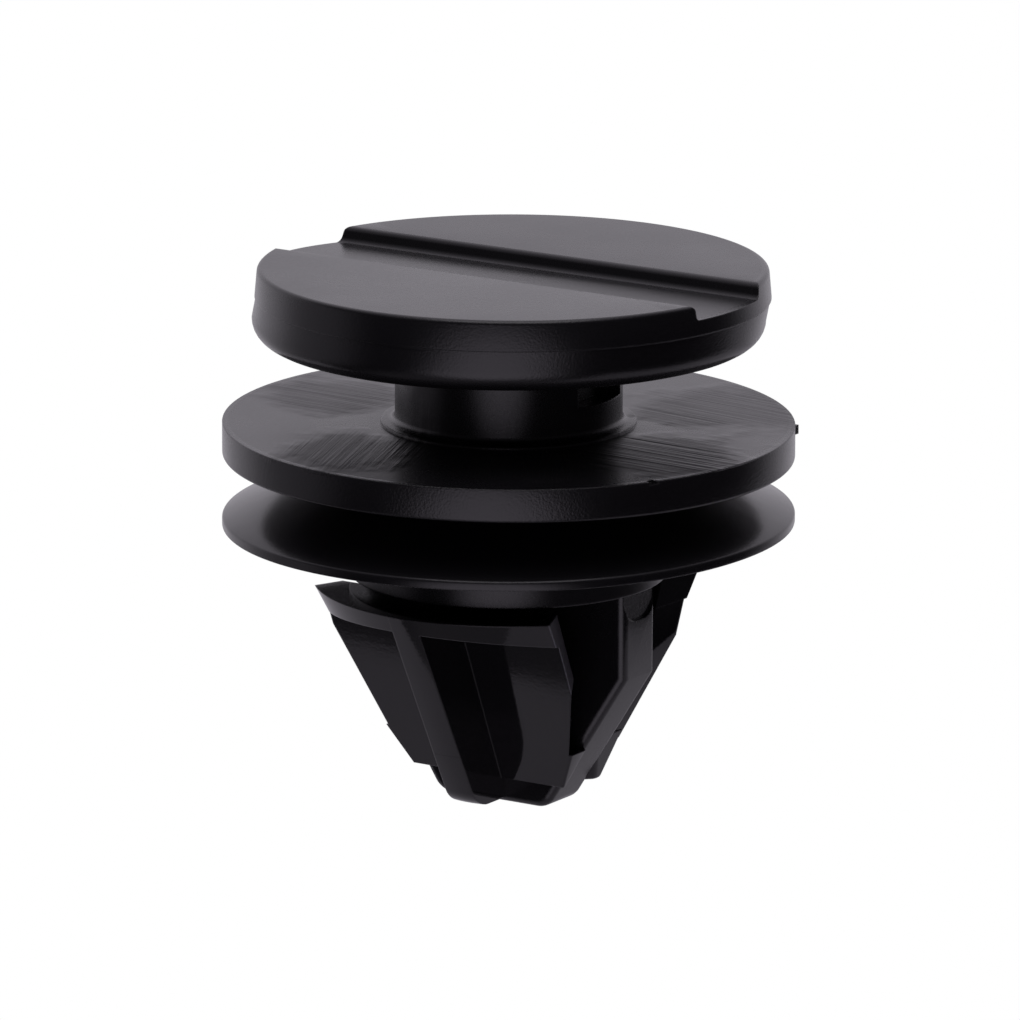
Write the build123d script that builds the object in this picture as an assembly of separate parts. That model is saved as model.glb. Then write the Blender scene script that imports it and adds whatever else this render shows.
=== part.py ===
from build123d import *

import os
from math import cos, radians, tan

# Moulded push-in retainer clip, in millimetres.
# +Z runs up the axis to the slotted head. The channel in the head and the core blade lie along X,
# and the two sprung wings face -Y and +Y.
# The origin is on the axis, halfway between the skirt's rim and the wings' shelves,
# where the edge of the panel's hole is gripped.

# Grip: the free height between the skirt's rim and the shelves
grip_height = 2.2

# Head
head_diameter = 18.1
head_thickness = 2.54
head_seam_depth = 1.02
head_seam_step = 0.04
head_draft_angle = 5.0
head_top_chamfer = 0.15
head_bottom_round = 0.85
channel_far_reach = 2.43
channel_near_reach = 1.9
channel_far_depth = 0.62
channel_near_depth = 0.45
channel_near_slant = 35.0

# Neck between the head and the flange
neck_diameter = 8.0
neck_height = 2.97
neck_root_chamfer = 0.25
neck_step_width = 0.5
neck_step_height = 0.1
pocket_width = 2.7
pocket_depth = 0.8
pocket_ledge_height = 1.2

# Flange
flange_diameter = 20.0
flange_thickness = 1.2
flange_bottom_chamfer = 0.12

# Sealing skirt, a thin cone that flares down from the collar
skirt_diameter = 20.06
skirt_angle = 23.0
skirt_rim_thickness = 0.32
skirt_root_thickness = 0.46
skirt_root_gap = 0.1

# Collar that fills the panel's hole
collar_diameter = 11.2
collar_clearance = 0.28

# Anchor below the collar
anchor_length = 7.65
cone_angle = 27.6
shelf_reach = 6.88
nose_round = 1.1

# Core blade
blade_width = 11.0
blade_thickness = 2.1
blade_corner_round = 0.3
blade_shoulder_depth = 2.75
blade_slant_angle = 32.6
blade_nose_round = 0.7
blade_nose_drop = 0.2
blade_notch_width = 1.9
blade_notch_drop = 1.0
blade_notch_depth = 0.1

# Wings
wing_slot_depth = 5.46
wing_root_gap = 0.06
wing_width = 8.56
wing_end_splay = 24.5
wing_shoulder_depth = 2.5
wing_slant_angle = 17.5
panel_thickness = 0.74
panel_angle = 23.5
panel_length = 6.88
panel_foot_round = 0.42
root_corner_round = 0.5
shelf_thickness = 0.58
shelf_under_angle = 8.0
rib_width = 1.13

# How close two places lie when they are taken as one
touching = 0.001

# Derived heights, measured along Z from the origin
head_radius = head_diameter / 2
neck_radius = neck_diameter / 2
flange_radius = flange_diameter / 2
skirt_radius = skirt_diameter / 2
collar_radius = collar_diameter / 2
shelf_top = -grip_height / 2
collar_bottom = shelf_top + collar_clearance
anchor_bottom = shelf_top - anchor_length
blade_bottom = anchor_bottom - blade_nose_drop
blade_shoulder = shelf_top - blade_shoulder_depth
slot_floor = shelf_top - wing_slot_depth
panel_foot = shelf_top - panel_length
panel_fall = tan(radians(panel_angle))
wing_inner_top = blade_thickness / 2 + wing_root_gap + wing_slot_depth * panel_fall
skirt_rim_bottom = grip_height / 2
skirt_rise = (skirt_radius - collar_radius) * tan(radians(skirt_angle))
skirt_root_top = skirt_rim_bottom + skirt_rim_thickness + skirt_rise
flange_bottom = skirt_root_top + skirt_root_gap
flange_top = flange_bottom + flange_thickness
head_bottom = flange_top + neck_height
head_top = head_bottom + head_thickness
head_seam = head_top - head_seam_depth
top_radius = head_radius - head_seam_depth * tan(radians(head_draft_angle))


def spun(outline):
    """Turn a face drawn as (radius, height) about the axis."""
    return revolve(Plane.XZ * outline, Axis.Z)


def corner(outline, x, y):
    """Pick the corner of a flat outline that lies at (x, y)."""
    return outline.vertices().sort_by_distance(Vector(x, y, 0))[0]


def channel():
    """Shallow channel along X: a steep far wall, a slanted near wall and a floor that deepens to the far one."""
    clear = head_thickness
    slant = tan(radians(channel_near_slant))
    section = Polygon(
        (-channel_near_reach - clear * slant, head_top + clear),
        (-channel_near_reach + channel_near_depth * slant, head_top - channel_near_depth),
        (channel_far_reach, head_top - channel_far_depth),
        (channel_far_reach, head_top + clear),
        align=None,
    )
    return extrude(Plane.YZ * section, head_diameter, both=True)


def head():
    """Two mould halves of the head disc, with the seam between them and the channel across the top."""
    low_radius = head_radius - head_seam_step
    disc = Polygon(
        (0, head_top),
        (top_radius, head_top),
        (head_radius, head_seam),
        (low_radius, head_seam),
        (low_radius, head_bottom),
        (0, head_bottom),
        align=None,
    )
    disc = fillet(corner(disc, low_radius, head_bottom), head_bottom_round)
    disc = chamfer(corner(disc, top_radius, head_top), head_top_chamfer)
    return spun(disc) - channel()


def neck():
    """Neck with a stepped, bevelled root and a moulded pocket under the head on each side."""
    step_radius = neck_radius + neck_step_width
    step_top = flange_top + neck_step_height
    stem = Polygon(
        (0, head_bottom),
        (neck_radius, head_bottom),
        (neck_radius, step_top),
        (step_radius, step_top),
        (step_radius, flange_top),
        (0, flange_top),
        align=None,
    )
    stem = chamfer(corner(stem, neck_radius, step_top), neck_root_chamfer)
    pocket_floor = flange_top + pocket_ledge_height
    pocket_height = head_bottom - pocket_floor
    pocket = Box(2 * pocket_depth, pocket_width, pocket_height, align=(Align.CENTER, Align.CENTER, Align.MIN))
    pockets = [Pos(side * neck_radius, 0, pocket_floor) * pocket for side in (-1, 1)]
    return spun(stem) - pockets


def flange():
    """Flat disc that bears on the trim."""
    disc = Polygon(
        (0, flange_top),
        (flange_radius, flange_top),
        (flange_radius, flange_bottom),
        (0, flange_bottom),
        align=None,
    )
    return spun(chamfer(corner(disc, flange_radius, flange_bottom), flange_bottom_chamfer))


def skirt():
    """Thin sealing cone around the collar, thicker at its root."""
    rim_top = skirt_rim_bottom + skirt_rim_thickness
    lip = Polygon(
        (0, skirt_root_top),
        (collar_radius, skirt_root_top),
        (skirt_radius, rim_top),
        (skirt_radius, skirt_rim_bottom),
        (collar_radius, skirt_root_top - skirt_root_thickness),
        (0, skirt_root_top - skirt_root_thickness),
        align=None,
    )
    return spun(lip)


def collar():
    """Round barrel that fills the hole in the panel."""
    height = flange_bottom - collar_bottom
    return Pos(0, 0, collar_bottom) * Cylinder(
        collar_radius, height, align=(Align.CENTER, Align.CENTER, Align.MIN)
    )


def blade_half_width(height):
    """Half the blade's width at a height on its slanted edges."""
    return blade_width / 2 - (blade_shoulder - height) * tan(radians(blade_slant_angle))


def blade():
    """Core plate across the axis, slanted in to the nose, with a shallow notch at the top of each edge."""
    top = blade_width / 2
    foot = blade_half_width(blade_bottom)
    side = Polygon(
        (top, collar_bottom),
        (top, blade_shoulder),
        (foot, blade_bottom),
        (-foot, blade_bottom),
        (-top, blade_shoulder),
        (-top, collar_bottom),
        align=None,
    )
    side = fillet([corner(side, foot, blade_bottom), corner(side, -foot, blade_bottom)], blade_nose_round)
    plate = extrude(Plane.XZ * side, blade_thickness / 2, both=True)
    rims = plate.faces().filter_by(Axis.Y).edges()
    plate = fillet([rim for rim in rims if rim.center().Z < collar_bottom - touching], blade_corner_round)
    notch = SlotOverall(2 * blade_notch_drop, blade_notch_width, rotation=90)
    notches = [
        Pos(x, 0, collar_bottom) * extrude(Plane.YZ * notch, blade_notch_depth, both=True)
        for x in (-top, top)
    ]
    return plate - notches


def wing_envelope():
    """Cone with a rounded nose that the shelves and the ribs reach out to."""
    foot = shelf_reach - anchor_length * tan(radians(cone_angle))
    cone = Polygon(
        (0, shelf_top),
        (shelf_reach, shelf_top),
        (foot, anchor_bottom),
        (0, anchor_bottom),
        align=None,
    )
    return spun(fillet(corner(cone, foot, anchor_bottom), nose_round))


def panel_reach(height):
    """Distance from the blade's middle plane to a wing's outer face at a height."""
    return wing_inner_top + panel_thickness / cos(radians(panel_angle)) - (shelf_top - height) * panel_fall


def wedge(top, bottom):
    """Solid out from the blade's middle plane to a wing's face, between the planes of the blade's slanted edges."""
    top_half = blade_half_width(top)
    bottom_half = blade_half_width(bottom)
    front = Polygon((top_half, top), (bottom_half, bottom), (-bottom_half, bottom), (-top_half, top), align=None)
    section = Polygon((0, top), (panel_reach(top), top), (panel_reach(bottom), bottom), (0, bottom), align=None)
    return extrude(Plane.XZ * front, shelf_reach, both=True) & extrude(Plane.YZ * section, shelf_reach, both=True)


def sloping_edges(solid, height):
    """Edges on the outside of a wing that run down its slope for most of a height."""
    return [e for e in solid.edges() if e.center().Y > touching and abs((e @ 1 - e @ 0).Z) > height]


def wing_outline():
    """Block that gives a wing its inner face and its splayed ends, which narrow below the shoulder."""
    slope = cos(radians(panel_angle))
    half = wing_width / 2
    headroom = shelf_reach
    shoulder = wing_shoulder_depth / slope
    foot = anchor_length / slope
    foot_half = half - (foot - shoulder) * tan(radians(wing_slant_angle)) * slope
    outline = Polygon(
        (half, -headroom),
        (half, shoulder),
        (foot_half, foot),
        (-foot_half, foot),
        (-half, shoulder),
        (-half, -headroom),
        align=None,
    )
    normal = Vector(0, 1, 0).rotate(Axis.X, -panel_angle)
    inner_face = Plane(origin=(0, wing_inner_top, shelf_top), x_dir=(1, 0, 0), z_dir=normal)
    return extrude(inner_face * outline, shelf_reach, taper=-wing_end_splay)


def free_wing(above_floor):
    """The sprung part of a wing: a flat panel, a half-moon shelf on top and a central rib."""
    panel = wedge(shelf_top, slot_floor) & wing_outline()
    shelf_section = Polygon(
        (0, shelf_top),
        (shelf_reach, shelf_top),
        (shelf_reach, shelf_top - shelf_thickness),
        (0, shelf_top - shelf_thickness - shelf_reach * tan(radians(shelf_under_angle))),
        align=None,
    )
    shelf = extrude(Plane.YZ * shelf_section, 2 * shelf_reach, both=True)
    rib = Pos(0, 0, slot_floor) * Box(
        rib_width, shelf_reach, wing_slot_depth, align=(Align.CENTER, Align.MIN, Align.MIN)
    )
    return panel + ((shelf + rib) & wing_envelope() & wing_outline() & above_floor)


def wing():
    """One wing on the +Y side, with the rounded root that joins it to the blade."""
    above_floor = Pos(0, 0, slot_floor) * Box(
        4 * shelf_reach, 4 * shelf_reach, 2 * anchor_length, align=(Align.CENTER, Align.CENTER, Align.MIN)
    )
    root = wedge(slot_floor, panel_foot)
    root = fillet(sloping_edges(root, (slot_floor - panel_foot) / 2), root_corner_round)
    toes = [e for e in root.edges() if e.center().Z < panel_foot + touching and e.center().Y > touching]
    root = fillet(toes, panel_foot_round)
    nose_rib = Pos(0, 0, anchor_bottom) * Box(
        rib_width, shelf_reach, slot_floor - anchor_bottom, align=(Align.CENTER, Align.MIN, Align.MIN)
    )
    return free_wing(above_floor) + root + (nose_rib & wing_envelope())


def wings():
    """Both sprung wings."""
    right = wing()
    return right + mirror(right, Plane.XZ)


def retainer_clip():
    """The whole clip as one moulded solid."""
    return head() + neck() + flange() + skirt() + collar() + blade() + wings()


os.makedirs("parts", exist_ok=True)
clip = retainer_clip()
export_step(clip, "parts/retainer_clip.step")
print("solids", len(clip.solids()), "volume", round(clip.volume, 2), "height", round(clip.bounding_box().size.Z, 3))
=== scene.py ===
"""Studio scene of a moulded push-in retainer clip, in metres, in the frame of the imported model.

Six closed pieces stand for the clip's one solid. They are built in millimetres and shrunk at the end.
"""

import logging
import math
from dataclasses import dataclass
from enum import Enum
from typing import Any, Callable, Iterable, Optional, Sequence, Union

import bmesh
import bpy
from mathutils import Matrix, Quaternion, Vector


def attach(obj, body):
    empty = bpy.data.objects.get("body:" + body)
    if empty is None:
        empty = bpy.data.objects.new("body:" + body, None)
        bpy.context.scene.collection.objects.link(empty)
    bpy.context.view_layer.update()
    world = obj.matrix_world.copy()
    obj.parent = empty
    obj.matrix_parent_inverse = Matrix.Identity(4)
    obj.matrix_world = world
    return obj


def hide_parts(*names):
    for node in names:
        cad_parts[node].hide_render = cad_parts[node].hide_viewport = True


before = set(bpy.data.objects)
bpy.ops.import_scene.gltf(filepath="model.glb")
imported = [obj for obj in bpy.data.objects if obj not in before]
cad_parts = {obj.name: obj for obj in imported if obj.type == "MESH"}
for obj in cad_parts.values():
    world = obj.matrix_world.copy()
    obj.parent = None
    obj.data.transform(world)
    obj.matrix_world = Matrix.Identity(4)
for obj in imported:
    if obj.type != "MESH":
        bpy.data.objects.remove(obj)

MM = 0.001
# Millimetres: how far touching solids are set off from each other, so that no two faces coincide
NUDGE = 0.004
# Millimetres: vertices closer than this are merged
MERGE = 1e-4
# Millimetres: distances below this count as none
TINY = 1e-6
ROUND_STEPS = 240
NODE = "retainer_clip"
BODY = "root"
# Angles about Z: the camera's side of the clip, and the side to which the flange rises
VIEW_DEGREES = 33.0
VIEW = math.radians(VIEW_DEGREES)
FAR_LEFT = math.radians(168.0)
log = logging.getLogger("retainer_clip")


# Bmesh helpers


Mesh = bmesh.types.BMesh
Piece = bpy.types.Object
Point2 = tuple[float, float]
Point3 = tuple[float, float, float]
Colour = tuple[float, float, float, float]
Rounding = dict[int, float]


def section_face(bm: Mesh, points: Sequence[Point2], place: Callable[[float, float], Point3]) -> None:
    """Add one flat face.

    Args:
        bm: The mesh under construction.
        points: The corners of the outline, in its own two directions.
        place: Turns a corner into a place in space.
    """
    bm.faces.new([bm.verts.new(place(*point)) for point in points])


class Round(Enum):
    """What a rounding works on."""

    EDGES = "EDGES"
    CORNERS = "VERTICES"


def bevel(bm: Mesh, geom: Iterable[Any], width: float, segments: int = 4, kind: Round = Round.EDGES) -> None:
    """Round edges or corners.

    Args:
        bm: The mesh.
        geom: Its edges or vertices to round.
        width: How far the rounding reaches from them.
        segments: How many faces it gets.
        kind: Whether edges or corners are given.
    """
    shape = {"segments": segments, "profile": 0.5, "clamp_overlap": kind is Round.EDGES}
    size = {"offset": width, "offset_type": "OFFSET"}
    bmesh.ops.bevel(bm, geom=list(geom), affect=kind.value, material=-1, **size, **shape)


def round_corners(bm: Mesh, rounding: Rounding, segments: int) -> None:
    """Round corners of the only face in a mesh.

    Args:
        bm: The mesh that holds the face.
        rounding: The radius at each corner's index.
        segments: How many faces each corner gets.
    """
    bm.verts.ensure_lookup_table()
    corners = [(bm.verts[index], radius) for index, radius in rounding.items()]
    for vertex, radius in corners:
        bevel(bm, [vertex], radius, segments, Round.CORNERS)


def tidy_shell(bm: Mesh) -> None:
    """Merge doubled vertices and point every face outwards."""
    bmesh.ops.remove_doubles(bm, verts=bm.verts, dist=MERGE)
    bmesh.ops.recalc_face_normals(bm, faces=bm.faces)


def spin_round(bm: Mesh) -> None:
    """Sweep the edges of a half section once round the Z axis.

    Args:
        bm: The half section, which becomes the turned mesh.
    """
    about = {"cent": (0, 0, 0), "axis": (0, 0, 1), "dvec": (0, 0, 0), "angle": 2 * math.pi}
    ways = {"steps": ROUND_STEPS, "use_merge": True, "use_duplicate": False}
    bmesh.ops.spin(bm, geom=list(bm.verts) + list(bm.edges), **about, **ways)
    tidy_shell(bm)


def half_section(points: Sequence[Point2], rounding: Rounding, segments: int) -> Mesh:
    """Draw the edges of a half section.

    Args:
        points: Corners as (radius, height) in millimetres.
        rounding: The radius at each corner's index.
        segments: How many faces each rounded corner gets.

    Returns:
        A mesh that holds edges alone.
    """
    bm = bmesh.new()
    section_face(bm, points, lambda radius, height: (radius, 0.0, height))
    round_corners(bm, rounding, segments)
    bmesh.ops.delete(bm, geom=list(bm.faces), context="FACES_ONLY")
    return bm


def lathe(points: Sequence[Point2], rounding: Rounding, segments: int = 5) -> Mesh:
    """Turn a half section that meets the Z axis about it.

    Args:
        points: Corners as (radius, height) in millimetres.
        rounding: The radius at each corner's index.
        segments: How many faces each rounded corner gets.

    Returns:
        A closed mesh in millimetres.
    """
    bm = half_section(points, rounding, segments)
    on_axis = [e for e in bm.edges if all(abs(v.co.x) < TINY for v in e.verts)]
    bmesh.ops.delete(bm, geom=on_axis, context="EDGES")
    spin_round(bm)
    return bm


class Axis(Enum):
    """A level direction."""

    X = 0
    Y = 1


def prism(points: Sequence[Point2], axis: Axis, low: float, high: float, rounding: Rounding) -> Mesh:
    """Extrude a flat outline along X or Y.

    Args:
        points: Corners in the plane across the axis, as (across, height) in millimetres.
        axis: The direction of the extrusion.
        low: Where the prism starts along the axis.
        high: Where it ends.
        rounding: The radius at each corner's index.

    Returns:
        A closed mesh in millimetres.
    """
    bm, along_x, length = bmesh.new(), axis is Axis.X, high - low
    section_face(bm, points, lambda across, up: (low, across, up) if along_x else (across, low, up))
    round_corners(bm, rounding, segments=6)
    made = bmesh.ops.extrude_face_region(bm, geom=list(bm.faces))["geom"]
    step = (length, 0, 0) if along_x else (0, length, 0)
    bmesh.ops.translate(bm, vec=step, verts=[g for g in made if isinstance(g, bmesh.types.BMVert)])
    tidy_shell(bm)
    return bm


def block(low: Point3, high: Point3) -> Mesh:
    """Make a box.

    Args:
        low: Its lowest corner in millimetres.
        high: Its highest corner.

    Returns:
        A closed mesh in millimetres.
    """
    bm = bmesh.new()
    bmesh.ops.create_cube(bm, size=1.0)
    size = [b - a for a, b in zip(low, high)]
    middle = [(a + b) / 2 for a, b in zip(low, high)]
    bmesh.ops.scale(bm, vec=size, verts=bm.verts)
    bmesh.ops.translate(bm, vec=middle, verts=bm.verts)
    return bm


def slice_off(bm: Mesh, point: Sequence[float], normal: Sequence[float]) -> None:
    """Cut a convex solid with a plane, drop what lies on the normal's side and close the cut.

    Args:
        bm: The solid.
        point: A point on the plane.
        normal: The direction of the part that goes.
    """
    cut = bmesh.ops.bisect_plane(
        bm,
        geom=list(bm.verts) + list(bm.edges) + list(bm.faces),
        dist=TINY,
        plane_co=Vector(point),
        plane_no=Vector(normal).normalized(),
        clear_outer=True,
        clear_inner=False,
    )
    rim = [g for g in cut["geom_cut"] if isinstance(g, bmesh.types.BMEdge)]
    if rim:
        bmesh.ops.contextual_create(bm, geom=rim)


def mirrored(bm: Mesh) -> Mesh:
    """Mirror a solid across the XZ plane.

    Args:
        bm: The solid, which stays as it is.

    Returns:
        The copy on the other side.
    """
    other = bm.copy()
    bmesh.ops.scale(other, vec=(1, -1, 1), verts=other.verts)
    bmesh.ops.reverse_faces(other, faces=other.faces)
    return other


def as_object(bm: Mesh, name: str) -> Piece:
    """Move a mesh into an object, still in millimetres.

    Args:
        bm: The mesh, which is freed.
        name: The object's name.

    Returns:
        The linked object.
    """
    mesh = bpy.data.meshes.new(name)
    bm.to_mesh(mesh)
    bm.free()
    made = bpy.data.objects.new(name, mesh)
    bpy.context.scene.collection.objects.link(made)
    return made


class Join(Enum):
    """How one solid is worked into another."""

    ADD = "UNION"
    CUT = "DIFFERENCE"


def combine(base: Piece, tool: Mesh, join: Join) -> Piece:
    """Work a second solid into an object and apply the result.

    Args:
        base: The object that stays.
        tool: A mesh in millimetres, which is used up.
        join: Whether it is added or cut away.

    Returns:
        The changed object.
    """
    other = as_object(tool, base.name + "_tool")
    step = base.modifiers.new("join", "BOOLEAN")
    step.operation = join.value
    step.solver = "EXACT"
    step.object = other
    graph = bpy.context.evaluated_depsgraph_get()
    result = bpy.data.meshes.new_from_object(base.evaluated_get(graph))
    old = base.data
    base.modifiers.remove(step)
    base.data = result
    result.name = base.name
    bpy.data.meshes.remove(old)
    bpy.data.objects.remove(other)
    return base


def to_metres(piece: Piece) -> Piece:
    """Shrink an object's mesh from millimetres to metres."""
    piece.data.transform(Matrix.Scale(MM, 4))
    return piece


def to_right() -> Vector:
    """The direction to the right of the photographed side."""
    return Vector((math.cos(VIEW), math.sin(VIEW), 0))


def lean_back(piece: Piece, pivot: float, degrees: float) -> None:
    """Tip a piece a little away from the photographed side, as the moulding has warped.

    Args:
        piece: The object to tip.
        pivot: The height in millimetres that stays.
        degrees: How far it leans.
    """
    turn = Matrix.Rotation(math.radians(-degrees), 4, to_right())
    middle = Matrix.Translation((0, 0, pivot))
    piece.data.transform(middle @ turn @ middle.inverted())


def settle(piece: Piece, sharp: float = 32.0) -> Piece:
    """Merge doubles, shade smooth with sharp edges, and weight the normals by face size.

    Args:
        piece: The finished object.
        sharp: The angle in degrees from which an edge stays sharp.

    Returns:
        The same object.
    """
    bm = bmesh.new()
    bm.from_mesh(piece.data)
    bmesh.ops.remove_doubles(bm, verts=bm.verts, dist=MERGE)
    bmesh.ops.dissolve_degenerate(bm, dist=MERGE, edges=bm.edges)
    bm.to_mesh(piece.data)
    bm.free()
    to_metres(piece)
    piece.data.shade_smooth()
    piece.data.set_sharp_from_angle(angle=math.radians(sharp))
    weigh = piece.modifiers.new("weigh", "WEIGHTED_NORMAL")
    weigh.keep_sharp = True
    weigh.weight = 100
    return piece


# Shader helpers


Input = Union[float, Sequence[float], "Wire"]
Inputs = dict[Union[int, str], Input]


class Wire:
    """A node's output socket that can be used in plain arithmetic."""

    def __init__(self, tree: "Tree", socket: bpy.types.NodeSocket) -> None:
        """Keep the socket and the tree it belongs to."""
        self.tree = tree
        self.socket = socket

    def _math(self, operation: str, first: Input, second: Input) -> "Wire":
        """Add one Math node."""
        return self.tree.node("ShaderNodeMath", {"operation": operation}, {0: first, 1: second})

    def __add__(self, other: Input) -> "Wire":
        """Sum of two values."""
        return self._math("ADD", self, other)

    def __radd__(self, other: Input) -> "Wire":
        """Sum with the value on the left."""
        return self._math("ADD", other, self)

    def __sub__(self, other: Input) -> "Wire":
        """Difference of two values."""
        return self._math("SUBTRACT", self, other)

    def __rsub__(self, other: Input) -> "Wire":
        """Difference from the value on the left."""
        return self._math("SUBTRACT", other, self)

    def __mul__(self, other: Input) -> "Wire":
        """Product of two values."""
        return self._math("MULTIPLY", self, other)

    def __pow__(self, other: Input) -> "Wire":
        """Power of a value."""
        return self._math("POWER", self, other)

    def most(self, other: Input) -> "Wire":
        """The higher of two values."""
        return self._math("MAXIMUM", self, other)

    def ramp(self, start: float, end: float) -> "Wire":
        """A smooth step from 0 at start to 1 at end."""
        return self.tree.node(
            "ShaderNodeMapRange",
            {"interpolation_type": "SMOOTHSTEP", "clamp": True},
            {"Value": self, "From Min": start, "From Max": end},
        )


class Tree:
    """Builds nodes in one material or world."""

    def __init__(self, tree: bpy.types.NodeTree) -> None:
        """Empty the tree."""
        self.tree = tree
        tree.nodes.clear()

    def node(
        self,
        kind: str,
        settings: Optional[dict[str, Any]] = None,
        inputs: Optional[Inputs] = None,
        out: Union[int, str] = 0,
    ) -> Wire:
        """Add a node.

        Args:
            kind: The node's type.
            settings: Its properties, set first.
            inputs: Values or wires for its sockets, by name or number.
            out: Which output to return.

        Returns:
            The chosen output.
        """
        made = self.tree.nodes.new(kind)
        for key, value in (settings or {}).items():
            setattr(made, key, value)
        for key, value in (inputs or {}).items():
            if isinstance(value, Wire):
                self.tree.links.new(value.socket, made.inputs[key])
            else:
                made.inputs[key].default_value = value
        return Wire(self, made.outputs[out])

    def vector(self, operation: str, inputs: Inputs, out: Union[int, str] = 0) -> Wire:
        """Add one Vector Math node."""
        return self.node("ShaderNodeVectorMath", {"operation": operation}, inputs, out)

    def dot(self, vector: Wire, direction: Sequence[float]) -> Wire:
        """How far a vector reaches along a direction."""
        return self.vector("DOT_PRODUCT", {0: vector, 1: direction}, "Value")

    def place(self) -> Wire:
        """The position on the piece, in metres."""
        return self.node("ShaderNodeTexCoord", out="Object")

    def split(self, vector: Wire) -> tuple[Wire, Wire, Wire]:
        """Take a vector apart.

        Args:
            vector: The vector.

        Returns:
            Its parts along X, Y and Z.
        """
        made = self.tree.nodes.new("ShaderNodeSeparateXYZ")
        self.tree.links.new(vector.socket, made.inputs[0])
        x, y, z = (Wire(self, socket) for socket in made.outputs)
        return x, y, z

    def noise(self, vector: Wire, scale: float, detail: float = 2.0, rough: float = 0.5) -> Wire:
        """Add a noise pattern.

        Args:
            vector: The place where it is read.
            scale: How many of its waves fit in a metre.
            detail: How many finer layers it has.
            rough: How strong the finer layers are.

        Returns:
            A value from 0 to 1.
        """
        inputs = {"Vector": vector, "Scale": scale, "Detail": detail, "Roughness": rough}
        return self.node("ShaderNodeTexNoise", {}, inputs)

    def stretch(self, vector: Wire, turn: float, scale: Sequence[float]) -> Wire:
        """Turn a position about Z, then stretch it.

        Args:
            vector: The position.
            turn: The turn in degrees.
            scale: The factors along X, Y and Z.

        Returns:
            The new position.
        """
        rotation = (0, 0, math.radians(turn))
        turned = self.node("ShaderNodeMapping", {}, {"Vector": vector, "Rotation": rotation})
        return self.node("ShaderNodeMapping", {}, {"Vector": turned, "Scale": scale})

    def finish(self, kind: str, shader: Wire) -> None:
        """Join a shader to the output node."""
        made = self.tree.nodes.new(kind)
        self.tree.links.new(shader.socket, made.inputs["Surface"])


@dataclass(frozen=True)
class Scuff:
    """A patch of fine parallel scratches.

    The middle and the radius are in millimetres, the turn in degrees, the depth and the pitch in metres.
    """

    middle: Point2
    radius: float
    turn: float
    depth: float
    pitch: float = 0.0003
    length_scale: float = 90.0
    ragged_scale: float = 500.0


@dataclass(frozen=True)
class PaintedLitEnd:
    """A flat end whose base colour is painted paler as painted light, and whose finish is rougher, given by
    a point on it and by its outward direction.
    """

    point: Point3
    outward: Point3
    depth: float = 0.05
    spread: float = 0.3
    # How much paler the end's base colour is painted at most, as painted light
    painted_light_gain: float = 12.0


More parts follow.
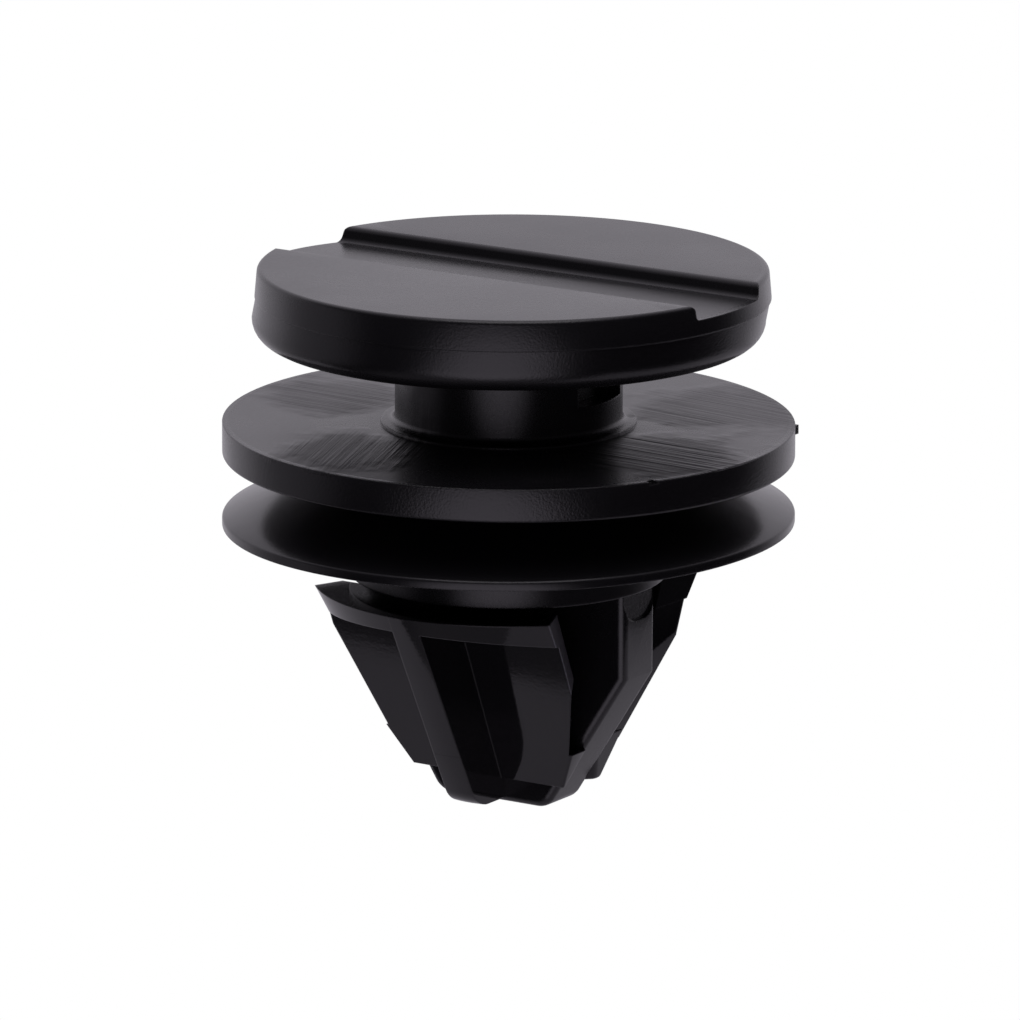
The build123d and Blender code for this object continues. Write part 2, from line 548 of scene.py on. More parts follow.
@dataclass(frozen=True)
class Nylon:
    """Black moulded nylon with the grain and the marks that the mould left on it.

    Grain, ripple and lines are heights in metres. Spreads are what a pattern adds to the roughness. Walls
    are the faces that lie further from the axis than wall_from, in millimetres.
    """

    name: str
    tint: Point3 = (0.0060, 0.0056, 0.0068)
    glint: Colour = (0.98, 0.94, 1.0, 1.0)
    roughness: float = 0.28
    wall_from: float = 0.0
    wall_roughness: float = 0.25
    wall_grain: float = 0.000005
    wall_scale: float = 13000.0
    cloud_scale: float = 260.0
    cloud_spread: float = 0.08
    grain: float = 0.000002
    grain_scale: float = 9000.0
    grain_spread: float = 0.06
    ripple: float = 0.000004
    ripple_scale: float = 450.0
    lines: float = 0.0
    lines_pitch: float = 0.0003
    lines_breaks: float = 1400.0
    soften: float = 0.07
    ior: float = 1.45
    scuffs: tuple[Scuff, ...] = ()
    scuffs_above: float = 0.0
    scuffs_spread: float = 0.1
    # Ends whose base colour is painted paler as painted light, and whose finish is rougher
    painted_lit_ends: tuple[PaintedLitEnd, ...] = ()

    def scratches(self, tree: Tree, place: Wire, scuff: Scuff) -> tuple[Wire, Wire]:
        """Draw one patch of scratches.

        Args:
            tree: The material's nodes.
            place: The position on the piece.
            scuff: The patch.

        Returns:
            The scratches' height and the patch's extent, from 0 to 1.
        """
        x, y = scuff.middle
        away = tree.vector("MULTIPLY_ADD", {0: place, 1: (1, 1, 0), 2: (-x * MM, -y * MM, 0)})
        far = tree.vector("LENGTH", {0: away}, "Value")
        ragged = far + (tree.noise(place, scuff.ragged_scale, 2.0) - 0.5) * (scuff.radius * MM)
        inside = 1 - ragged.ramp(scuff.radius * MM * 0.5, scuff.radius * MM)
        long = tree.stretch(place, scuff.turn, (scuff.length_scale, 1 / scuff.pitch, scuff.length_scale))
        marks = tree.noise(long, 1.0, 3.0, 0.6)
        return marks * inside * scuff.depth, inside

    def material(self) -> bpy.types.Material:
        """Build the material.

        Returns:
            The material, ready to assign.
        """
        made = bpy.data.materials.new(self.name)
        made.use_nodes = True
        tree = Tree(made.node_tree)
        place = tree.place()
        x, y, level = tree.split(place)
        cloud = tree.noise(place, self.cloud_scale, 3.0)
        fine = tree.noise(place, self.grain_scale, 2.0)
        height = fine * self.grain + tree.noise(place, self.ripple_scale, 1.0) * self.ripple
        rough = self.roughness + (cloud - 0.5) * self.cloud_spread + (fine - 0.5) * self.grain_spread
        if self.wall_from:
            out = (x * x + y * y) ** 0.5
            wall = out.ramp((self.wall_from - 0.1) * MM, self.wall_from * MM)
            height = height + tree.noise(place, self.wall_scale, 1.0) * wall * self.wall_grain
            rough = rough + wall * (self.wall_roughness - self.roughness)
        for scuff in self.scuffs:
            marks, inside = self.scratches(tree, place, scuff)
            above = level.ramp((self.scuffs_above - 0.04) * MM, self.scuffs_above * MM)
            height = height + marks * above
            rough = rough + inside * above * self.scuffs_spread
        if self.lines:
            turns = level * (2 * math.pi / self.lines_pitch)
            wave = tree.node("ShaderNodeMath", {"operation": "SINE"}, {0: turns})
            broken = tree.noise(place, self.lines_breaks, 2.0).ramp(0.4, 0.6)
            height = height + wave * broken * self.lines
        tint: Input = (*self.tint, 1.0)
        # Painted light: each listed end gets a paler base colour so that it reads lit, and a rougher finish
        for lit_face in self.painted_lit_ends:
            start = Vector(lit_face.point).dot(Vector(lit_face.outward)) * MM
            along = tree.dot(place, lit_face.outward)
            painted_lit_mask = along.ramp(start - lit_face.depth * MM, start - lit_face.depth * MM * 0.5)
            rough = rough + painted_lit_mask * lit_face.spread
            tint = tree.vector("SCALE", {0: self.tint, "Scale": 1 + painted_lit_mask * lit_face.painted_light_gain})
        edge = tree.node("ShaderNodeBevel", {"samples": 4}, {"Radius": self.soften * MM})
        relief = {"Height": height, "Distance": 1.0, "Strength": 1.0, "Normal": edge}
        bump = tree.node("ShaderNodeBump", {}, relief)
        looks = {"Base Color": tint, "Roughness": rough, "IOR": self.ior, "Specular Tint": self.glint}
        shader = tree.node("ShaderNodeBsdfPrincipled", {}, {**looks, "Normal": bump})
        tree.finish("ShaderNodeOutputMaterial", shader)
        return made


def dress(piece: Piece, finish: Nylon) -> Piece:
    """Give a piece its finish, tie it to the frame and hide the imported clip, in whose place it stands.

    Args:
        piece: The finished object.
        finish: Its material.

    Returns:
        The same object.
    """
    piece.data.materials.clear()
    piece.data.materials.append(finish.material())
    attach(piece, BODY)
    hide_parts(NODE)
    if not piece.data.polygons:
        raise RuntimeError(piece.name + " came out empty")
    log.info("%s: %d faces", piece.name, len(piece.data.polygons))
    return piece


# The clip


@dataclass(frozen=True)
class Heights:
    """Levels along the axis in millimetres, from the middle of the grip."""

    shelf_top: float = -1.1
    collar_bottom: float = -0.82
    anchor_bottom: float = -8.75
    skirt_rim_bottom: float = 1.1
    skirt_root_top: float = 3.3004
    flange_bottom: float = 3.4004
    flange_top: float = 4.6004
    head_bottom: float = 7.5704
    head_top: float = 10.1104


@dataclass
class Head:
    """Round head with the mould seam round its side and the channel across its top."""

    at: Heights
    radius: float = 9.05
    seam_depth: float = 1.02
    seam_step: float = 0.04
    mismatch: float = 0.14
    lean: float = 0.35
    draft: float = 5.0
    seam_band: float = 0.05
    top_round: float = 0.15
    bottom_round: float = 0.78
    far_reach: float = 2.43
    near_reach: float = 1.9
    far_depth: float = 0.5
    near_depth: float = 0.5
    far_draft: float = 0.16
    near_slope_left: float = 0.45
    near_slope_right: float = 0.06
    near_rise_left: float = 0.2
    upper_rise: float = 0.04
    edge_round: float = 0.2
    lip_clear: float = 0.0005
    mouth_clear: float = 0.0004

    def disc(self) -> Mesh:
        """Turn the two mould halves as one section.

        Returns:
            A closed mesh in millimetres.
        """
        top, seam = self.at.head_top, self.at.head_top - self.seam_depth
        low = self.radius - self.seam_step
        upper = self.radius - self.seam_depth * math.tan(math.radians(self.draft))
        outline = [
            (0.0, top),
            (upper, top),
            (self.radius, seam + self.seam_band),
            (self.radius, seam),
            (low, seam),
            (low, self.at.head_bottom),
            (0.0, self.at.head_bottom),
        ]
        return lathe(outline, {5: self.bottom_round, 1: self.top_round}, segments=8)

    def channel(self) -> Mesh:
        """The tool that cuts the channel, flared at its mouth so that both lips are rounded.

        Its near wall runs from low and sloping on the left to deeper and steep on the right.

        Returns:
            A closed mesh in millimetres.
        """
        top, lift, lip = self.at.head_top, 1.0, 3 * self.edge_round
        near, far, half = -self.near_reach, self.far_reach, 10.0
        face = top + self.upper_rise
        outline = [
            (near - lip, top + lift),
            (near - lip, face + self.lip_clear),
            (near, face + self.mouth_clear),
            (near, top - self.near_depth),
            (far - self.far_draft, top - self.far_depth),
            (far, face + self.mouth_clear),
            (far + lip, face + self.lip_clear),
            (far + lip, top + lift),
        ]
        rounding = {2: self.edge_round, 5: self.edge_round, 3: self.edge_round / 2, 4: self.edge_round}
        bm = prism(outline, Axis.X, -half, half, rounding)
        for vertex in bm.verts:
            deep = (face - vertex.co.z) / self.near_depth
            if vertex.co.y < 0 and deep > 0:
                left = (half - vertex.co.x) / (2 * half)
                vertex.co.y += deep * (self.near_slope_left * left + self.near_slope_right * (1 - left))
                vertex.co.z += deep * self.near_rise_left * left
        return bm

    def build(self) -> Piece:
        """Make the head.

        Returns:
            The dressed object.
        """
        disc, slack = self.disc(), 0.001
        upper = [v for v in disc.verts if v.co.z > self.at.head_top - self.seam_depth - slack]
        bmesh.ops.translate(disc, vec=to_right() * self.mismatch, verts=upper)
        high = [v for v in upper if v.co.z > self.at.head_top - self.top_round - slack]
        bmesh.ops.translate(disc, vec=(0, 0, self.upper_rise), verts=high)
        piece = combine(as_object(disc, "head_disc"), self.channel(), Join.CUT)
        lean_back(piece, self.at.head_bottom, self.lean)
        return dress(settle(piece), Nylon("head nylon", wall_from=8.9))


FLANGE_SCUFFS = (
    Scuff((-7.4, -0.3), 3.2, 0.0, 0.00008),
    Scuff((-2.1, -6.9), 3.4, 70.0, 0.00006),
    Scuff((7.2, -1.0), 3.6, 0.0, 0.00008),
    Scuff((4.6, -5.6), 2.6, 60.0, 0.00006),
    Scuff((5.4, 6.2), 4.2, 5.0, 0.00006),
)


@dataclass
class Stem:
    """Neck, flange and collar, turned as one body, with a pocket on each side of the neck.

    The nick and the burr are boxes at the flange's edge, with their heights from its top.
    """

    at: Heights
    neck_radius: float = 4.0
    root_chamfer: float = 0.25
    step_width: float = 0.5
    step_height: float = 0.1
    pocket_width: float = 2.7
    pocket_depth: float = 0.8
    pocket_ledge: float = 1.2
    flange_radius: float = 10.06
    tilt: float = 0.08
    flange_round: float = 0.12
    rim_round: float = 0.03
    step_round: float = 0.05
    collar_radius: float = 5.6
    collar_round: float = 0.05
    sink: float = 0.3
    nick: tuple[Point3, Point3] = ((8.7, -4.76, -0.18), (9.2, -4.44, 0.1))
    burr: tuple[Point3, Point3] = ((8.2, 5.2, -0.42), (8.56, 5.5, -0.1))

    def turned(self) -> Mesh:
        """Turn the neck, the flange and the collar.

        Returns:
            A closed mesh in millimetres.
        """
        at = self.at
        step = at.flange_top + self.step_height
        outline = [
            (0.0, at.head_bottom + self.sink),
            (self.neck_radius, at.head_bottom + self.sink),
            (self.neck_radius, step),
            (self.neck_radius + self.step_width, step),
            (self.neck_radius + self.step_width, at.flange_top),
            (self.flange_radius, at.flange_top),
            (self.flange_radius, at.flange_bottom),
            (self.collar_radius, at.flange_bottom),
            (self.collar_radius, at.collar_bottom),
            (0.0, at.collar_bottom),
        ]
        rounding = {
            2: self.root_chamfer,
            3: self.step_round,
            5: self.rim_round,
            6: self.flange_round,
            8: self.collar_round,
        }
        bm = lathe(outline, rounding)
        for vertex in bm.verts:
            if Vector(vertex.co.xy).length > self.collar_radius + 0.1:
                away = vertex.co.x * math.cos(FAR_LEFT) + vertex.co.y * math.sin(FAR_LEFT)
                vertex.co.z += self.tilt * away / self.flange_radius
        return bm

    def on_flange(self, corner: Point3) -> Point3:
        """A place whose height is given from the flange's top."""
        return corner[0], corner[1], self.at.flange_top + corner[2]

    def build(self) -> Piece:
        """Make the neck, the flange and the collar.

        Returns:
            The dressed object.
        """
        piece = as_object(self.turned(), "neck_flange_collar")
        floor = self.at.flange_top + self.pocket_ledge
        half = self.pocket_width / 2
        for side in (-1, 1):
            reach = sorted((side * (self.neck_radius - self.pocket_depth), side * (self.neck_radius + 1)))
            pocket = block((reach[0], -half, floor), (reach[1], half, self.at.head_bottom + 0.01))
            piece = combine(piece, pocket, Join.CUT)
        for (low, high), join in ((self.nick, Join.CUT), (self.burr, Join.ADD)):
            piece = combine(piece, block(self.on_flange(low), self.on_flange(high)), join)
        finish = Nylon(
            "flange nylon",
            wall_from=9.9,
            wall_grain=0.000008,
            scuffs=FLANGE_SCUFFS,
            scuffs_above=self.at.flange_top - 0.1,
        )
        return dress(settle(piece), finish)


@dataclass
class Skirt:
    """Thin sealing cone that flares down from the collar, a little wavy at its rim.

    Each wave of the rim is given by its strength, how often it goes round and where it starts.
    """

    at: Heights
    collar_radius: float = 5.6
    radius: float = 10.07
    rim_thickness: float = 0.32
    root_thickness: float = 0.46
    rim_top_round: float = 0.06
    rim_low_round: float = 0.04
    sink: float = 0.3
    rings: int = 9
    wave: float = 0.03
    waves: tuple[tuple[float, int, float], ...] = ((1.0, 3, 0.6), (0.6, 5, 2.0))
    droop: float = 0.2
    droop_turn: float = 150.0

    def lift(self, x: float, y: float) -> float:
        """How far the rim's waves and its droop move a place up or down.

        Args:
            x: The place's X in millimetres.
            y: Its Y.

        Returns:
            The rise in millimetres.
        """
        out = (Vector((x, y)).length - self.collar_radius) / (self.radius - self.collar_radius)
        around = math.atan2(y, x)
        wave = sum(size * math.sin(turns * around + start) for size, turns, start in self.waves)
        sag = self.droop * (1 + math.cos(around - VIEW + math.radians(self.droop_turn))) / 2
        return max(out, 0.0) ** 2 * (self.wave * wave / 2 - sag)

    def build(self) -> Piece:
        """Make the skirt.

        Returns:
            The dressed object.
        """
        at = self.at
        inside = self.collar_radius - self.sink
        drop = at.skirt_root_top - at.skirt_rim_bottom - self.rim_thickness
        slope = drop / (self.radius - self.collar_radius)
        root = at.skirt_root_top + self.sink * slope
        outline = [
            (inside, root),
            (self.radius, at.skirt_rim_bottom + self.rim_thickness),
            (self.radius, at.skirt_rim_bottom),
            (inside, root - self.root_thickness),
        ]
        bm = half_section(outline, {1: self.rim_top_round, 2: self.rim_low_round}, segments=4)
        long_edges = [e for e in bm.edges if e.calc_length() > 2.0]
        bmesh.ops.subdivide_edges(bm, edges=long_edges, cuts=self.rings)
        spin_round(bm)
        for vertex in bm.verts:
            vertex.co.z += self.lift(vertex.co.x, vertex.co.y)
        piece = as_object(bm, "sealing_skirt")
        return dress(settle(piece), Nylon("skirt nylon", roughness=0.24, ripple=0.00001, ripple_scale=600.0))


@dataclass
class Blade:
    """Core plate across the axis, slanted in to a rounded nose."""

    at: Heights
    width: float = 11.0
    thickness: float = 2.1
    edge_round: float = 0.3
    shoulder_depth: float = 2.75
    slant: float = 32.6
    notch_width: float = 1.9
    notch_drop: float = 1.0
    notch_depth: float = 0.1
    notch_round: float = 0.7
    nose_round: float = 0.7
    nose_drop: float = 0.2
    sink: float = 0.1

    def half_width(self, height: float) -> float:
        """Half the blade's width at a height on its slanted edges."""
        shoulder = self.at.shelf_top - self.shoulder_depth
        return self.width / 2 - (shoulder - height) * math.tan(math.radians(self.slant))

    def plate(self) -> Mesh:
        """The plate with its rounded rims.

        Returns:
            A closed mesh in millimetres.
        """
        at = self.at
        top, shoulder = self.width / 2, at.shelf_top - self.shoulder_depth
        bottom = at.anchor_bottom - self.nose_drop
        foot = self.half_width(bottom)
        high = at.collar_bottom + self.sink
        right = [(top, high), (top, shoulder), (foot, bottom)]
        outline = right + [(-across, height) for across, height in reversed(right)]
        nose = self.nose_round * math.tan(math.radians(45 - self.slant / 2))
        bm = prism(outline, Axis.Y, -self.thickness / 2, self.thickness / 2, {2: nose, 3: nose})
        rims = []
        for edge in bm.edges:
            first, second = (vertex.co for vertex in edge.verts)
            if abs(first.y - second.y) < 1e-5 and (first.z + second.z) / 2 < high - 0.01:
                rims.append(edge)
        bevel(bm, rims, self.edge_round)
        return bm

    def notch(self, side: int) -> Mesh:
        """The tool that cuts the thumbnail notch in one edge.

        Args:
            side: -1 or 1, the sign of the edge's X.

        Returns:
            A closed mesh in millimetres.
        """
        half, edge = self.notch_width / 2, self.width / 2
        high, low = self.at.collar_bottom + 0.5, self.at.collar_bottom - self.notch_drop
        start, end = sorted((side * (edge - self.notch_depth), side * (edge + 1.0)))
        rounding = {1: self.notch_round, 2: self.notch_round}
        return prism([(-half, high), (-half, low), (half, low), (half, high)], Axis.X, start, end, rounding)

    def build(self) -> Piece:
        """Make the blade.

        Returns:
            The dressed object.
        """
        piece = as_object(self.plate(), "core_blade")
        for side in (-1, 1):
            piece = combine(piece, self.notch(side), Join.CUT)
        return dress(settle(piece), Nylon("blade nylon", roughness=0.26, grain=0.000004, grain_scale=7000.0))


@dataclass
class Wing:
    """One sprung wing: a flat panel with a half-moon shelf on top, a central rib and a rounded root.

    It is built on the +Y side out of blanks that are cut with planes, and mirrored for the front.
    """

    at: Heights
    blade: Blade
    slot_depth: float = 5.46
    root_gap: float = 0.06
    width: float = 8.56
    end_splay: float = 24.5
    low_splay: float = 24.5
    left_extra: float = 0.0
    shoulder_depth: float = 2.5
    slant: float = 17.5
    thickness: float = 0.74
    lean: float = 23.5
    length: float = 6.88
    root_half: float = 3.92
    root_slant: float = 28.0
    root_round: float = 0.12
    foot_round: float = 0.3
    shelf_thickness: float = 0.58
    shelf_under: float = 8.0
    rib_width: float = 1.13
    shelf_reach: float = 6.88
    anchor_length: float = 7.65
    cone: float = 27.6
    nose_round: float = 1.1
    lap: float = 0.3
    blank_half: float = 8.0
    blank_reach: float = 9.0

    @property
    def fall(self) -> float:
        """How far the panel comes in for each millimetre down."""
        return math.tan(math.radians(self.lean))

    @property
    def slot_floor(self) -> float:
        """The height where the slot beside the blade ends."""
        return self.at.shelf_top - self.slot_depth

    @property
    def inner_top(self) -> float:
        """How far out the panel's inner face is at the shelf's top."""
        return self.blade.thickness / 2 + self.root_gap + self.slot_depth * self.fall

    def reach(self, height: float) -> float:
        """How far out the panel's outer face is at a height."""
        proud = self.thickness / math.cos(math.radians(self.lean))
        return self.inner_top + proud - (self.at.shelf_top - height) * self.fall

    def envelope(self, grow: float = 0.0) -> Mesh:
        """The cone with a rounded nose that the shelf and the rib reach out to.

        Args:
            grow: How much larger than its true size it is made.

        Returns:
            A closed mesh in millimetres.
        """
        foot = self.shelf_reach - self.anchor_length * math.tan(math.radians(self.cone))
        low = self.at.anchor_bottom - grow
        outline = [
            (0.0, self.at.shelf_top),
            (self.shelf_reach + grow, self.at.shelf_top),
            (foot + grow, low),
            (0.0, low),
        ]
        nose = self.nose_round * math.tan(math.radians(45 - self.cone / 2))
        return lathe(outline, {2: nose}, segments=8)

    def blank(self, low: float, high: float) -> Mesh:
        """A box between two heights that a part of the wing is cut from."""
        return block((-self.blank_half, 0, low), (self.blank_half, self.blank_reach, high))

    def trim_inside(self, bm: Mesh, sink: float = 0.0) -> None:
        """Cut away what lies inside the panel's inner face.

        Args:
            bm: The blank.
            sink: How far into the panel the cut lies.
        """
        slope = math.radians(self.lean)
        start = self.inner_top + sink / math.cos(slope)
        slice_off(bm, (0, start, self.at.shelf_top), (0, -math.cos(slope), math.sin(slope)))

    def trim_ends(self, bm: Mesh, grow: float = 0.0) -> None:
        """Cut the splayed ends: upright above the shoulder and narrowing below it.

        Args:
            bm: The blank.
            grow: How much wider than the panel it is left.
        """
        slope, splay = math.radians(self.lean), math.radians(self.end_splay)
        low_splay = math.radians(self.low_splay)
        outward = Vector((0, math.cos(slope), -math.sin(slope)))
        down = Vector((0, -math.sin(slope), -math.cos(slope)))
        top = Vector((0, self.inner_top, self.at.shelf_top))
        drop = self.shoulder_depth / math.cos(slope)
        turn = math.atan(math.tan(math.radians(self.slant)) * math.cos(slope))
        for side in (-1, 1):
            across = Vector((side, 0, 0))
            edge = top + across * (self.width / 2 + grow)
            extra = across * (self.left_extra if side < 0 else 0.0)
            slice_off(bm, edge + extra, across * math.cos(splay) - outward * math.sin(splay))
            low = across * math.cos(turn) + down * math.sin(turn)
            slice_off(bm, edge + down * drop, low * math.cos(low_splay) - outward * math.sin(low_splay))

    def trim_outside(self, bm: Mesh) -> None:
        """Cut a blank along the panel's outer face."""
        slope, top = math.radians(self.lean), self.at.shelf_top
        slice_off(bm, (0, self.reach(top), top), (0, math.cos(slope), -math.sin(slope)))

    def trim_rib(self, bm: Mesh, grow: float = 0.0) -> None:
        """Cut both sides of the rib.

        Args:
            bm: The blank.
            grow: How much wider than the rib each side is left.
        """
        half = self.rib_width / 2 + grow
        for side in (-1, 1):
            slice_off(bm, (side * half, 0, 0), (side, 0, 0))

    def panel(self) -> Mesh:
        """The flat sprung panel.

        Returns:
            A closed mesh in millimetres.
        """
        bm = self.blank(self.slot_floor - self.lap, self.at.shelf_top - NUDGE)
        self.trim_outside(bm)
        self.trim_inside(bm)
        self.trim_ends(bm)
        return bm

    def root(self) -> Mesh:
        """The rounded root that joins the panel to the blade.

        Its ends slant in, and flare towards the blade's slanted edges.

        Returns:
            A closed mesh in millimetres.
        """
        foot, off_axis, steep = self.at.shelf_top - self.length, 0.1, 0.5
        bm = self.blank(foot, self.slot_floor)
        self.trim_outside(bm)
        rise, edge = math.radians(self.root_slant), self.blade.half_width(self.slot_floor) - NUDGE
        face = self.blade.thickness / 2 - 0.2
        for side in (-1, 1):
            slant = (side * math.cos(rise), 0, -math.sin(rise))
            slice_off(bm, (side * self.root_half, 0, self.slot_floor), slant)
            flare = Vector((side, -1.0, -math.tan(math.radians(self.blade.slant)))).normalized()
            slice_off(bm, (side * edge, face, self.slot_floor), flare)
        slopes = []
        for e in bm.edges:
            if abs(e.verts[0].co.z - e.verts[1].co.z) > steep and min(v.co.y for v in e.verts) > off_axis:
                slopes.append(e)
        bevel(bm, slopes, self.root_round, 5)
        toes = []
        for e in bm.edges:
            if max(v.co.z for v in e.verts) < foot + MERGE and max(v.co.y for v in e.verts) > off_axis:
                toes.append(e)
        bevel(bm, toes, self.foot_round, 5)
        return bm

    def shelf(self) -> Mesh:
        """The half-moon shelf.

        Returns:
            A closed mesh in millimetres.
        """
        bm = self.envelope()
        under = math.radians(self.shelf_under)
        rim = (0, self.shelf_reach, self.at.shelf_top - self.shelf_thickness)
        slice_off(bm, rim, (0, math.sin(under), -math.cos(under)))
        self.trim_inside(bm, NUDGE)
        self.trim_ends(bm, NUDGE)
        return bm

    def rib(self) -> Mesh:
        """The rib down the middle of the panel.

        Returns:
            A closed mesh in millimetres.
        """
        bm = self.envelope(NUDGE)
        self.trim_rib(bm)
        slice_off(bm, (0, 0, self.at.shelf_top - 2 * NUDGE), (0, 0, 1))
        slice_off(bm, (0, 0, self.slot_floor - self.lap * 0.8), (0, 0, -1))
        self.trim_inside(bm, self.thickness / 2)
        return bm

    def nose_rib(self) -> Mesh:
        """The rib's lower end, across the root.

        Returns:
            A closed mesh in millimetres.
        """
        bm = self.envelope(1.3 * NUDGE)
        self.trim_rib(bm, 0.3 * NUDGE)
        slice_off(bm, (0, 0, self.slot_floor - self.lap * 0.4), (0, 0, 1))
        slice_off(bm, (0, 2 * NUDGE, 0), (0, -1, 0))
        return bm

    def painted_lit_end(self) -> PaintedLitEnd:
        """The right end of the wing that faces -Y, whose base colour is painted paler as painted light.

        Returns:
            The end, as its finish wants it.
        """
        splay, slope = math.radians(self.end_splay), math.radians(self.lean)
        point = (self.width / 2, -self.inner_top, self.at.shelf_top)
        outward = (math.cos(splay), math.sin(splay) * math.cos(slope), math.sin(splay) * math.sin(slope))
        return PaintedLitEnd(point, outward)

    def build(self, name: str, front: bool) -> Piece:
        """Make the wing.

        Args:
            name: The object's name.
            front: Whether it faces -Y.

        Returns:
            The dressed object.
        """
        parts = [self.panel(), self.root(), self.rib(), self.shelf(), self.nose_rib()]
        if front:
            parts = [mirrored(part) for part in parts]
        for part in parts:
            tidy_shell(part)
        piece = as_object(parts[0], name)
        for part in parts[1:]:
            piece = combine(piece, part, Join.ADD)
        finish = Nylon(
            name.replace("_", " ") + " nylon",
            roughness=0.07,
            grain=0.0000006,
            ripple=0.0000015,
            lines=0.00000006,
            # The front wing's right end gets painted light: a paler base colour
            painted_lit_ends=(self.painted_lit_end(),) if front else (),
        )
        return dress(settle(piece), finish)


# The studio


@dataclass(frozen=True)
class LightPanel:
    """A soft round patch of light around the clip.

    Its azimuth is in degrees from the camera's, its elevation in degrees above the horizon. It is full up to
    the angle inner from its middle and ends at the angle outer.
    """

    azimuth: float
    elevation: float
    inner: float
    outer: float
    strength: float


LIGHT_PANELS = (
    LightPanel(180.0, 12.0, 35.0, 75.0, 0.68),
    LightPanel(-8.0, -24.0, 12.0, 35.0, 1.15),
    LightPanel(-106.0, -5.0, 15.0, 40.0, 0.30),
    LightPanel(0.0, 90.0, 30.0, 60.0, 0.35),
    LightPanel(-30.0, -66.0, 18.0, 42.0, 0.17),
)


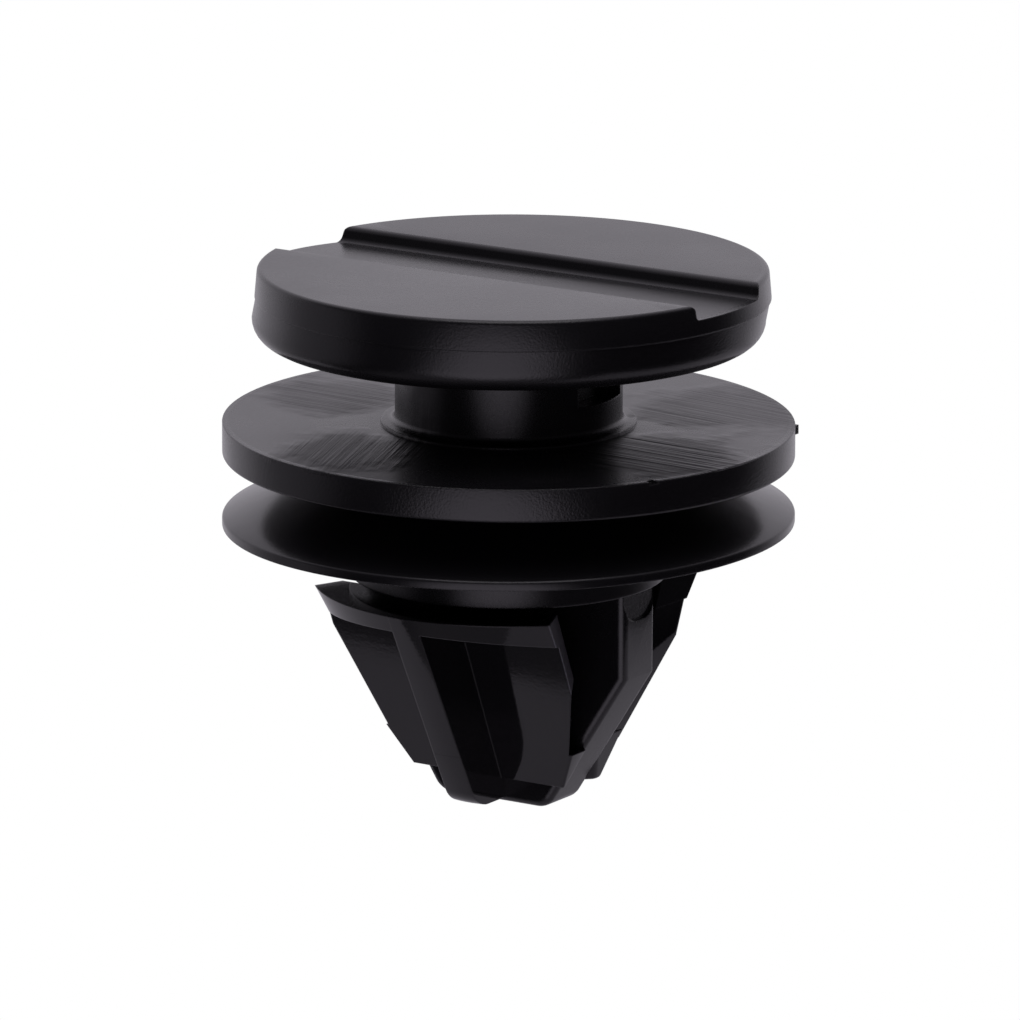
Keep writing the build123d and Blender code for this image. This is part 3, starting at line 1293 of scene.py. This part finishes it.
@dataclass
class Studio:
    """Camera, floor, lamp and surroundings, in metres but for the board, which is in millimetres."""

    azimuth: float = VIEW_DEGREES
    elevation: float = 12.5
    roll: float = 0.15
    distance: float = 0.400
    focal_px: float = 11432.0
    frame_px: float = 1020.0
    head_px: tuple[float, float] = (508.5, 267.5)
    head_top: float = 0.0101104
    floor_level: float = -0.030
    board: float = 120.0
    board_front: float = 15.1
    board_turn: float = 3.0
    board_shade: Colour = (0.68, 0.665, 0.695, 1.0)
    panel_shade: Colour = (1.0, 0.957, 1.043, 1.0)
    white: Colour = (1.0, 1.0, 1.0, 1.0)
    sky: float = 0.05
    lamp_elevation: float = 80.0
    lamp_distance: float = 0.35
    lamp_size: float = 0.25
    lamp_power: float = 0.35

    def toward(self, azimuth: float, elevation: float) -> Vector:
        """The direction from the object towards a place round it."""
        a, e = math.radians(azimuth), math.radians(elevation)
        return Vector((math.sin(a) * math.cos(e), -math.cos(a) * math.cos(e), math.sin(e)))

    def camera(self) -> None:
        """Stand the camera at the photographer's place, with the head's top at its place in the frame."""
        back = self.toward(self.azimuth, self.elevation)
        data = bpy.data.cameras.new("camera")
        data.sensor_width = 36.0
        data.lens = self.focal_px / self.frame_px * data.sensor_width
        data.clip_start, data.clip_end = 0.01, 10.0
        made = bpy.data.objects.new("camera", data)
        bpy.context.scene.collection.objects.link(made)
        made.location = Vector((0, 0, self.head_top)) + back * self.distance
        aim = (-back).to_track_quat("-Z", "Y")
        middle = self.frame_px / 2
        yaw = math.atan((self.head_px[0] - middle) / self.focal_px)
        pitch = math.atan((middle - self.head_px[1]) / self.focal_px)
        turn = Quaternion((0, 0, 1), math.radians(self.roll))
        made.rotation_mode = "QUATERNION"
        made.rotation_quaternion = aim @ Quaternion((1, 0, 0), -pitch) @ Quaternion((0, 1, 0), yaw) @ turn
        bpy.context.scene.camera = made

    def floor(self) -> None:
        """Lay a pale board under the clip, with its front edge close before the clip."""
        bm = bmesh.new()
        bmesh.ops.create_grid(bm, x_segments=1, y_segments=1, size=self.board / 2)
        shift = (0, self.board / 2 - self.board_front, self.floor_level / MM)
        bmesh.ops.translate(bm, vec=shift, verts=bm.verts)
        turn = Matrix.Rotation(math.radians(self.board_turn), 3, "Z")
        bmesh.ops.rotate(bm, cent=(0, 0, 0), matrix=turn, verts=bm.verts)
        piece = to_metres(as_object(bm, "floor"))
        made = bpy.data.materials.new("pale floor")
        made.use_nodes = True
        tree = Tree(made.node_tree)
        seen = self.seen(tree)
        shade = tree.node("ShaderNodeBsdfDiffuse", {}, {"Color": self.board_shade})
        white = tree.node("ShaderNodeEmission", {}, {"Color": self.white, "Strength": 1.0})
        mixed = tree.node("ShaderNodeMixShader", {}, {0: seen, 1: shade, 2: white})
        tree.finish("ShaderNodeOutputMaterial", mixed)
        piece.data.materials.append(made)

    @staticmethod
    def seen(tree: Tree) -> Wire:
        """Whether the camera sees the place, straight or through something clear."""
        straight = tree.node("ShaderNodeLightPath", out="Is Camera Ray")
        return straight.most(tree.node("ShaderNodeLightPath", out="Is Transmission Ray"))

    def glow(self, tree: Tree, direction: Wire, panel: LightPanel) -> Wire:
        """The light of one soft panel.

        Args:
            tree: The world's nodes.
            direction: The direction that is looked in.
            panel: The panel.

        Returns:
            Its strength in that direction.
        """
        middle = self.toward(self.azimuth + panel.azimuth, panel.elevation)
        turned = tree.dot(direction, tuple(middle))
        end, full = math.cos(math.radians(panel.outer)), math.cos(math.radians(panel.inner))
        return turned.ramp(end, full) * panel.strength

    def world(self) -> None:
        """White behind the clip, and soft light panels in the dark of the studio around it."""
        world = bpy.data.worlds.new("studio")
        world.use_nodes = True
        bpy.context.scene.world = world
        tree = Tree(world.node_tree)
        direction = tree.node("ShaderNodeTexCoord", out="Generated")
        _, _, up = tree.split(direction)
        glow = up.ramp(-0.5, 0.3) * self.sky
        for panel in LIGHT_PANELS:
            glow = glow + self.glow(tree, direction, panel)
        seen = self.seen(tree)
        panels = tree.node("ShaderNodeBackground", {}, {"Color": self.panel_shade, "Strength": glow})
        white = tree.node("ShaderNodeBackground", {}, {"Color": self.white, "Strength": 1.0})
        mixed = tree.node("ShaderNodeMixShader", {}, {0: seen, 1: panels, 2: white})
        tree.finish("ShaderNodeOutputWorld", mixed)

    def softbox(self) -> None:
        """Hang a square soft lamp high on the camera's side that looks at the clip."""
        data = bpy.data.lights.new("top softbox", "AREA")
        data.size = self.lamp_size
        data.energy = self.lamp_power
        made = bpy.data.objects.new("top softbox", data)
        bpy.context.scene.collection.objects.link(made)
        toward = self.toward(self.azimuth, self.lamp_elevation)
        made.location = toward * self.lamp_distance
        made.rotation_mode = "QUATERNION"
        made.rotation_quaternion = (-toward).to_track_quat("-Z", "Y")

    def build(self) -> None:
        """Set up the whole studio."""
        bpy.context.scene.view_settings.view_transform = "Standard"
        self.camera()
        self.floor()
        self.world()
        self.softbox()


def corners(box: tuple[Vector, Vector]) -> list[list[float]]:
    """A box's two corners as plain lists."""
    return [list(corner) for corner in box]


def main() -> None:
    """Build the clip and its studio."""
    logging.basicConfig(level=logging.INFO, format="%(name)s: %(message)s")
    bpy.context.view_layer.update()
    at = Heights()
    blade = Blade(at)
    Head(at).build()
    Stem(at).build()
    Skirt(at).build()
    blade.build()
    Wing(at, blade, left_extra=0.4).build("front_wing", True)
    ends = {"width": 8.5, "low_splay": 0.0, "shoulder_depth": 2.95, "slant": 21.0, "thickness": 1.0}
    root = {"length": 7.15, "foot_round": 0.45, "root_half": 3.44, "root_slant": 16.0}
    Wing(at, blade, **ends, **root).build("back_wing", False)
    Studio().build()
    bpy.context.view_layer.update()


if __name__ == "__main__":
    main()
